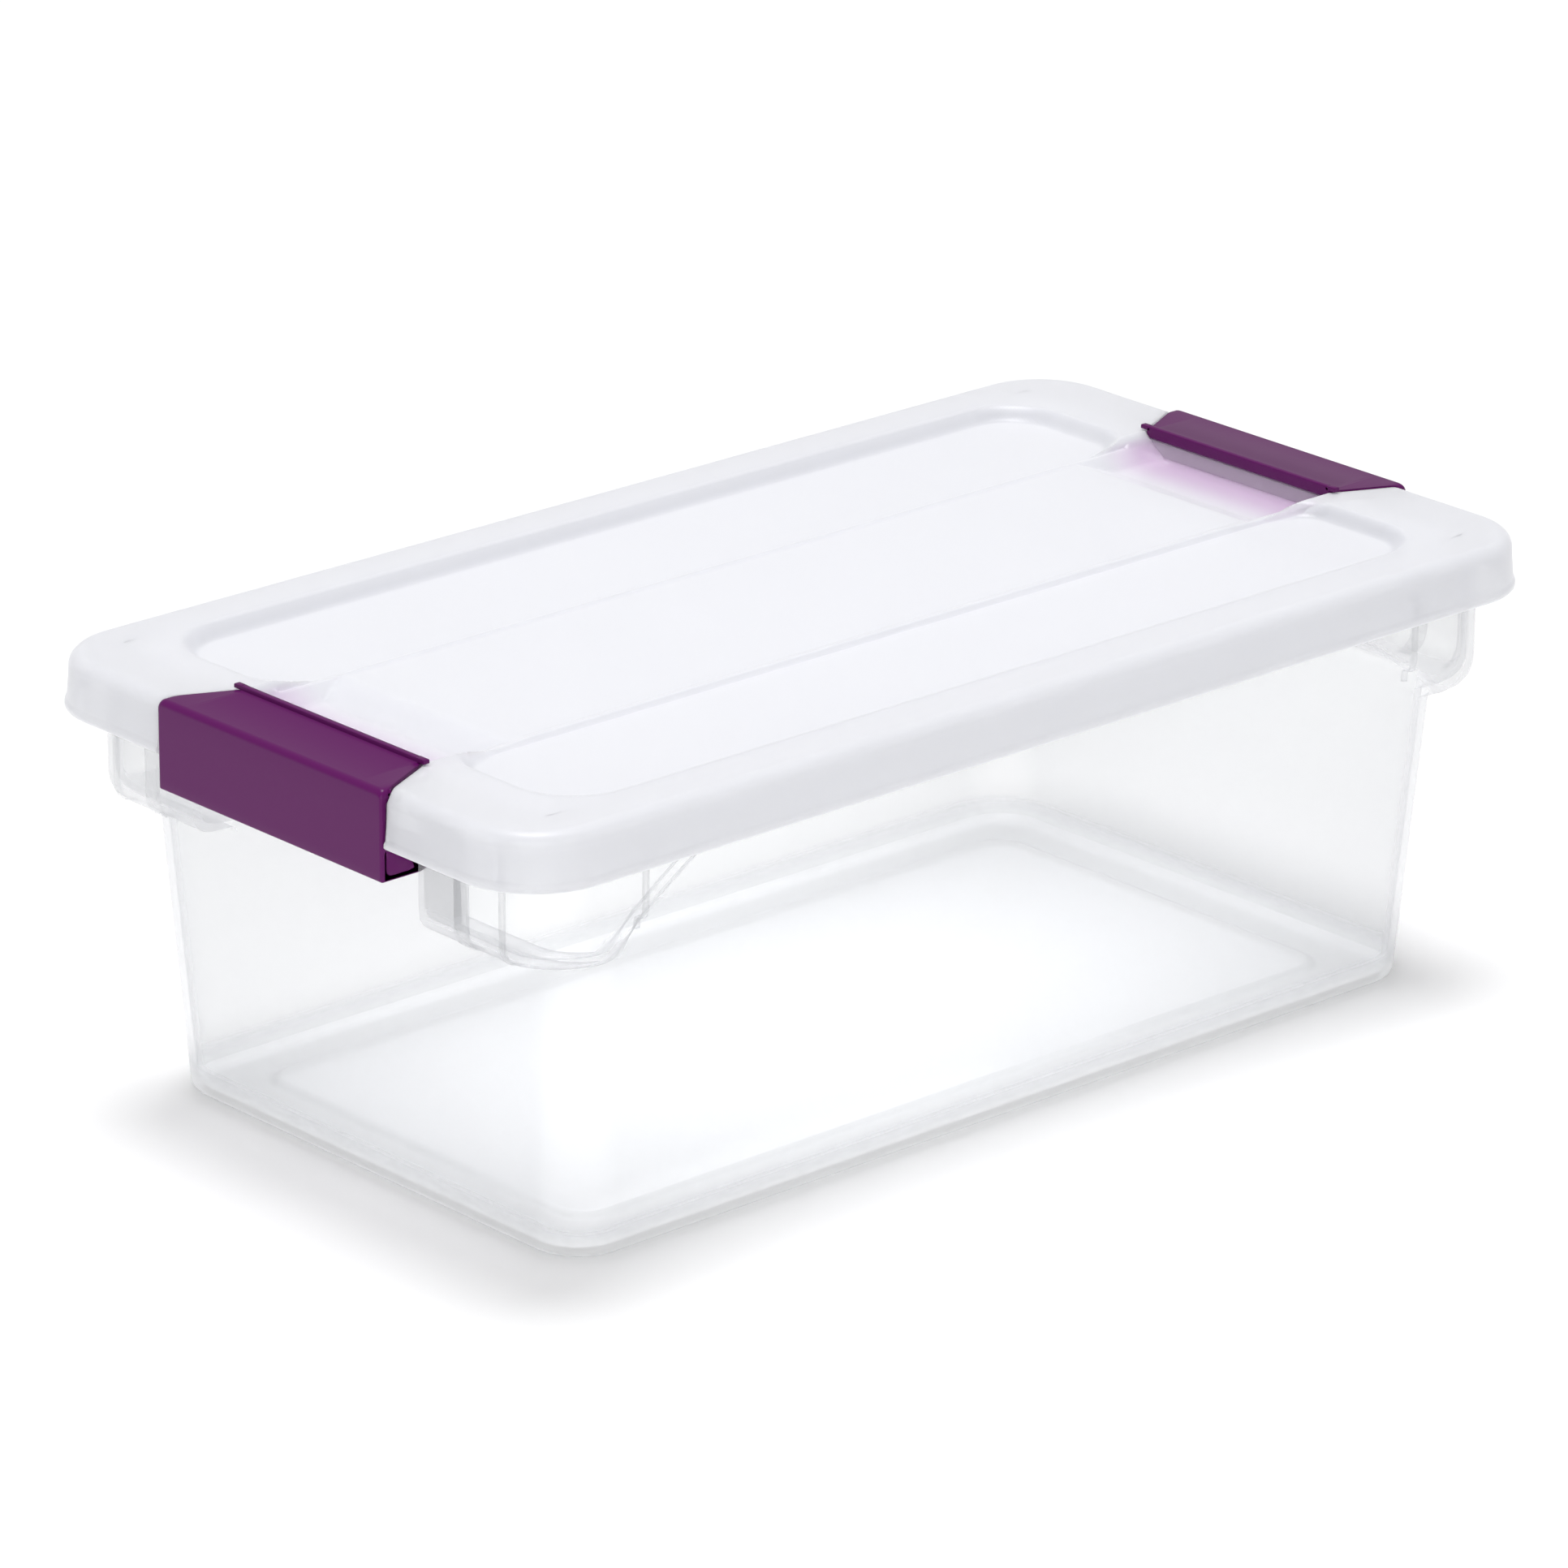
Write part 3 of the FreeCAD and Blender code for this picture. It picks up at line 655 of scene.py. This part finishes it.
def thin_pockets_and_paint_purple(material, thinning):
    """Lets the latch show through the deep-drawn pocket beside it, and paints a little of its purple on the
    pocket as painted light.
    """
    nodes, links = material.node_tree.nodes, material.node_tree.links
    shader = nodes["Principled BSDF"]
    place = nodes.new("ShaderNodeTexCoord")
    split = nodes.new("ShaderNodeSeparateXYZ")
    links.new(place.outputs["Object"], split.inputs[0])
    share = None
    for axis, outside, inside in painted_purple_bounds:
        size = nodes.new("ShaderNodeMath")
        size.operation = "ABSOLUTE"
        links.new(split.outputs[axis], size.inputs[0])
        ramp = nodes.new("ShaderNodeMapRange")
        ramp.interpolation_type = "SMOOTHSTEP"
        ramp.inputs["From Min"].default_value = outside * mm
        ramp.inputs["From Max"].default_value = inside * mm
        links.new(size.outputs[0], ramp.inputs["Value"])
        if share is None:
            share = ramp.outputs["Result"]
            continue
        both = nodes.new("ShaderNodeMath")
        both.operation = "MULTIPLY"
        links.new(share, both.inputs[0])
        links.new(ramp.outputs["Result"], both.inputs[1])
        share = both.outputs[0]
    blend = nodes.new("ShaderNodeMix")
    blend.data_type = "RGBA"
    blend.inputs["A"].default_value = (*milky_colour, 1)
    blend.inputs["B"].default_value = (*painted_purple_light, 1)
    links.new(share, blend.inputs["Factor"])
    links.new(blend.outputs["Result"], shader.inputs["Base Color"])
    kept = nodes.new("ShaderNodeMapRange")
    kept.inputs["To Min"].default_value = 1
    kept.inputs["To Max"].default_value = 1 - thinning
    links.new(share, kept.inputs["Value"])
    cover = nodes.new("ShaderNodeMath")
    cover.operation = "MULTIPLY"
    links.new(shader.inputs["Alpha"].links[0].from_socket, cover.inputs[0])
    links.new(kept.outputs["Result"], cover.inputs[1])
    links.new(cover.outputs[0], shader.inputs["Alpha"])


thin_pockets_and_paint_purple(milky_plastic, thinning=0.2)
lid_piece = make_piece("milky_lid", lid_points, lid_faces, milky_plastic)
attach(lid_piece, "lid")
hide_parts("lid")

# --- Latches -------------------------------------------------------------------------------------
# One snap latch for each end, moulded in deep purple plastic: a tall front wall, a flange that
# closes over the lid and ends in an upturned lip with two small ears, and a foot with a C-shaped
# hook that snaps over the hinge bar. The two latches are the same moulding turned round.
latch_low, latch_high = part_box("far_latch")
front_x, back_x = latch_high.x / mm, latch_low.x / mm
latch_foot, lip_top = latch_low.z / mm, latch_high.z / mm
latch_y = latch_high.y / mm
flange_top = lip_top - 1.4
latch_wall = 2.0
lip_thickness = 1.8
flange_taper = 9.0
lip_y = latch_y - flange_taper
ear_length, ear_round = 2.3, 0.35
hook_radius, bore_radius = 4.68, 2.58
hook_tip, hook_middle = 1.05, 3.63
front_round, foot_round, inner_round, end_round = 1.9, 0.7, 1.2, 2.2
end_dip, thin_edge = 0.55, 0.6


def arc(centre_x, centre_z, radius, start, stop, steps):
    """Points of an arc in the XZ plane, angles in degrees."""
    turns = np.radians(np.linspace(start, stop, steps))
    return [(centre_x + radius * math.cos(t), centre_z + radius * math.sin(t)) for t in turns]


def latch_section(y):
    """The latch cut across at y: a closed outline of (x, z) with the same count of points all along."""
    past = max(abs(y) - lip_y, 0)
    flange_back = back_x + past / flange_taper * (front_x - latch_wall - back_x)
    lip = float(1 - smooth(lip_y - 0.4, lip_y + 0.1, abs(y)))
    past_round = max(abs(y) - (latch_y - end_round), 0)
    top = flange_top - (end_round - math.sqrt(max(end_round ** 2 - past_round ** 2, 0))) * end_dip
    back_of_front, foot_top = front_x - latch_wall, latch_foot + latch_wall
    # down the front wall and under the foot
    outline = arc(front_x - front_round, top - front_round, front_round, 90, 0, 8)
    outline += [(front_x, top - 8), (front_x, latch_foot + 3)]
    outline += arc(front_x - foot_round, latch_foot + foot_round, foot_round, 0, -90, 5)
    outline += [(pivot.x + 6, latch_foot), (pivot.x + 1.2, latch_foot)]
    # the hook round the bar, with its mouth up and towards the box
    outline += arc(pivot.x, pivot.z, hook_radius, 262, 180, 9)
    outline += arc(pivot.x - hook_middle, pivot.z + 0.32, hook_tip, 180, 0, 7)[1:]
    outline += arc(pivot.x, pivot.z, bore_radius, 180, 430, 22)[1:]
    outline += arc(pivot.x + 1.2, pivot.z + 3.42, hook_tip, 250, 70, 7)[1:]
    outline += arc(pivot.x, pivot.z, hook_radius, 66, -38, 12)
    # back up the inside of the front wall
    outline += [(pivot.x + 4.6, foot_top), (back_of_front - 1.6, foot_top)]
    outline += arc(back_of_front - inner_round, foot_top + inner_round, inner_round, -90, 0, 5)
    outline += [(back_of_front, top - 8), (back_of_front, top - latch_wall - inner_round)]
    outline += arc(back_of_front - inner_round, top - latch_wall - inner_round, inner_round, 0, 90, 5)[1:]
    # under the flange to its back edge, and up and over the lip
    under = flange_top - latch_wall
    edge_x = min(flange_back, back_of_front - 1.4)
    outline += [(edge_x + 3.0 * (back_of_front - inner_round - edge_x) / 20, under), (edge_x + 0.4, under)]
    outline += [(edge_x, under + 0.4)]
    height = top + (lip_top - top) * lip
    outline += [(edge_x, height - 0.5), (edge_x + 0.15, height - 0.15), (edge_x + 0.5, height)]
    lip_front = edge_x + (thin_edge + (lip_thickness - thin_edge) * lip)
    outline += [(lip_front - 0.4, height), (lip_front - 0.1, height - 0.15), (lip_front, height - 0.5)]
    outline += [(lip_front + 0.05 * lip, top + 0.25 * lip), (lip_front + 0.4 * lip, top + 0.02 * lip)]
    return np.array(outline)


def shrink(outline, amount):
    """A closed outline moved inwards along its own normals."""
    before, after = np.roll(outline, 1, axis=0), np.roll(outline, -1, axis=0)
    run = after - before
    run /= np.maximum(np.linalg.norm(run, axis=1, keepdims=True), 1e-9)
    return outline + np.stack([-run[:, 1], run[:, 0]], axis=1) * -amount


# Cuts along the latch: y, and how far the outline is drawn in to round the end.
stations = [(-latch_y, 0.5), (-latch_y + 0.1, 0.25), (-latch_y + 0.3, 0.08), (-latch_y + 0.6, 0)]
stations += [(y, 0) for y in -latch_y + np.array([1.0, 1.5, 2.2, 3.5, 5.0, 7.0])]
stations += [(-lip_y + step, 0) for step in (-0.1, 0.05, 0.25, 0.45, 2)] + [(-12, 0)]
stations += [(-y, s) for y, s in stations[::-1]]
latch_points, latch_faces = [], []
for y, amount in stations:
    section = latch_section(y)
    section = shrink(section, amount) if amount else section
    latch_points += [(x, y, z) for x, z in section]
count = len(latch_section(0))
for s in range(len(stations) - 1):
    for k in range(count):
        n = (k + 1) % count
        latch_faces.append((s * count + k, s * count + n, (s + 1) * count + n, (s + 1) * count + k))
latch_faces.append([k for k in range(count)][::-1])
latch_faces.append([(len(stations) - 1) * count + k for k in range(count)])
for side in (-1, 1):
    first = len(latch_points)
    low_y, high_y = sorted((side * (lip_y - 1), side * (lip_y + ear_length)))
    ear_levels = ((flange_top + 0.25, 0), (lip_top - ear_round, 0), (lip_top - 0.1, 0.1),
                  (lip_top, ear_round))
    for z, inset in ear_levels:
        for px, py in ((0, 0), (1, 0), (1, 1), (0, 1)):
            latch_points.append((
                back_x + inset + px * (lip_thickness - 2 * inset),
                low_y + inset + py * (high_y - low_y - 2 * inset), z))
    for r in range(3):
        for k in range(4):
            n = (k + 1) % 4
            low = first + r * 4
            latch_faces.append((low + k, low + n, low + 4 + n, low + 4 + k))
    latch_faces.append([first + 3, first + 2, first + 1, first])
    latch_faces.append([first + 12, first + 13, first + 14, first + 15])
purple_plastic = plastic("purple_plastic", (0.100, 0.003, 0.094), roughness=0.30, grain_scale=300,
                         grain_depth=0.03, roughness_spread=0.05)
purple_plastic.node_tree.nodes["Principled BSDF"].inputs["Specular IOR Level"].default_value = 0.2
for end, body in ((1, "far_latch"), (-1, "near_latch")):
    turned = np.array(latch_points) * (end, end, 1)
    latch_piece = make_piece("purple_" + body, turned, latch_faces, purple_plastic, 35)
    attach(latch_piece, body)
    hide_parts(body)

# --- Latch foot ribs -----------------------------------------------------------------------------
# Five thin webs moulded inside the foot of each latch, from the hook to the front wall, one flush
# with each end. They stop just under the lid's skirt.
web_count, web_thickness, web_radius, web_lift = 5, 1.8, 0.5, 0.3
web_low_x, web_high_x = pivot.x + 0.5, front_x - 1.0
web_top = skirt_bottom - 1.2
web_tree, web_in, web_out = new_tree("latch_webs", [
    ("Start", "Geometry"), ("Count", "Int"), ("Thickness", "Float"), ("Length", "Float"),
    ("Height", "Float"), ("Corner Radius", "Float"), ("Centre", "Vector"), ("Step", "Vector"),
    ("Material", "Material"),
])
web_places = add_node(web_tree, "GeometryNodeMeshLine", [
    ("Count", web_in.outputs["Count"]), ("Start Location", web_in.outputs["Centre"]),
    ("Offset", web_in.outputs["Step"])])
web_outline = add_node(web_tree, "GeometryNodeCurvePrimitiveQuadrilateral", [
    ("Width", web_in.outputs["Length"]), ("Height", web_in.outputs["Height"])])
web_round = add_node(web_tree, "GeometryNodeFilletCurve", [
    ("Curve", web_outline.outputs[0]), ("Count", 4),
    ("Radius", web_in.outputs["Corner Radius"])], mode="POLY")
web_face = add_node(web_tree, "GeometryNodeFillCurve", [("Curve", web_round.outputs[0])], mode="NGONS")
web_solid = add_node(web_tree, "GeometryNodeExtrudeMesh", [
    ("Mesh", web_face.outputs[0]), ("Offset Scale", web_in.outputs["Thickness"]), ("Individual", False)])
web_back = add_node(web_tree, "GeometryNodeFlipFaces", [("Mesh", web_face.outputs[0])])
web_joined = add_node(web_tree, "GeometryNodeJoinGeometry")
web_tree.links.new(web_solid.outputs["Mesh"], web_joined.inputs[0])
web_tree.links.new(web_back.outputs[0], web_joined.inputs[0])
web_closed = add_node(web_tree, "GeometryNodeMergeByDistance", [
    ("Geometry", web_joined.outputs[0]), ("Distance", 0.01 * mm)])
web_set = add_node(web_tree, "GeometryNodeInstanceOnPoints", [
    ("Points", web_places.outputs[0]), ("Instance", web_closed.outputs[0]),
    ("Rotation", (math.pi / 2, 0, 0))])
finish_tree(web_tree, web_out, web_set.outputs[0], web_in.outputs["Material"])
web_height = web_top - latch_foot - web_lift
web_step = (2 * latch_y - web_thickness) / (web_count - 1)
for end, body in ((1, "far_latch"), (-1, "near_latch")):
    centre = (end * (web_low_x + web_high_x) / 2, web_thickness - latch_y,
              latch_foot + web_lift + web_height / 2)
    webs = grow_tree(body + "_webs", bpy.data.meshes.new("web_start"), web_tree, {
        "Count": web_count, "Thickness": web_thickness * mm, "Length": (web_high_x - web_low_x) * mm,
        "Height": web_height * mm, "Corner Radius": web_radius * mm, "Centre": Vector(centre) * mm,
        "Step": Vector((0, web_step * mm, 0)), "Material": purple_plastic})
    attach(webs, body)

# --- Studio --------------------------------------------------------------------------------------
# A plain white floor and surround, a wide soft sun and a fill lamp from the near left. A faint
# lamp under the lid stands for the light that the milky lid lets through.
floor_size, floor_white, surround_strength = 12, 0.9, 0.5
sun_strength, sun_spread, sun_from = 2.1, math.radians(25), Vector((0.2, 0.3, 3.0))
bpy.ops.mesh.primitive_plane_add(size=floor_size)
floor = bpy.context.object
floor.name = "studio_floor"
white_floor = bpy.data.materials.new("white_floor")
white_floor.use_nodes = True
floor_shader = white_floor.node_tree.nodes["Principled BSDF"]
floor_shader.inputs["Base Color"].default_value = (floor_white, floor_white, floor_white, 1)
floor_shader.inputs["Roughness"].default_value = 0.9
floor.data.materials.append(white_floor)
world = bpy.data.worlds.new("white_surround")
world.use_nodes = True
world.node_tree.nodes["Background"].inputs["Color"].default_value = (1, 1, 1, 1)
world.node_tree.nodes["Background"].inputs["Strength"].default_value = surround_strength
scene.world = world


def soft_lamp(name, place, aim, size, power):
    """A square or oblong area lamp, in metres and watts; the camera doesn't see it."""
    lamp = bpy.data.lights.new(name, "AREA")
    lamp.shape = "RECTANGLE"
    lamp.size, lamp.size_y = size
    lamp.energy = power
    holder = bpy.data.objects.new(name, lamp)
    scene.collection.objects.link(holder)
    holder.location = place
    holder.rotation_euler = (Vector(aim) - Vector(place)).to_track_quat("-Z", "Y").to_euler()
    holder.visible_camera = False


sky = bpy.data.objects.new("overhead", bpy.data.lights.new("overhead", "SUN"))
sky.data.energy = sun_strength
sky.data.angle = sun_spread
sky.rotation_euler = sun_from.to_track_quat("Z", "Y").to_euler()
scene.collection.objects.link(sky)
soft_lamp("fill", place=(-1.4, -1.5, 0.6), aim=(0, 0, 0.05), size=(1.2, 1.2), power=13)
soft_lamp("under_lid", place=(0, 0, 0.105), aim=(0, 0, 0), size=(0.29, 0.16), power=0.25)
scene.view_settings.view_transform = "Standard"

# --- Camera --------------------------------------------------------------------------------------
# A long lens from the near left corner, a little above the lid.
azimuth, elevation, roll = math.radians(-42.231), math.radians(20.548), math.radians(0.343)
distance, aim = 2.0278, Vector((-0.0888, -0.0899, 0.1155))
back = Vector((math.sin(azimuth) * math.cos(elevation), -math.cos(azimuth) * math.cos(elevation),
               math.sin(elevation)))
level_right = Vector((math.cos(azimuth), math.sin(azimuth), 0))
level_up = back.cross(level_right)
right = level_right * math.cos(roll) + level_up * math.sin(roll)
up = level_up * math.cos(roll) - level_right * math.sin(roll)
camera = bpy.data.objects.new("camera", bpy.data.cameras.new("camera"))
camera.data.lens = 190.7
camera.data.clip_end = 50
facing = Matrix((right, up, back)).transposed().to_4x4()
camera.matrix_world = Matrix.Translation(aim + back * distance) @ facing
scene.collection.objects.link(camera)
scene.camera = camera
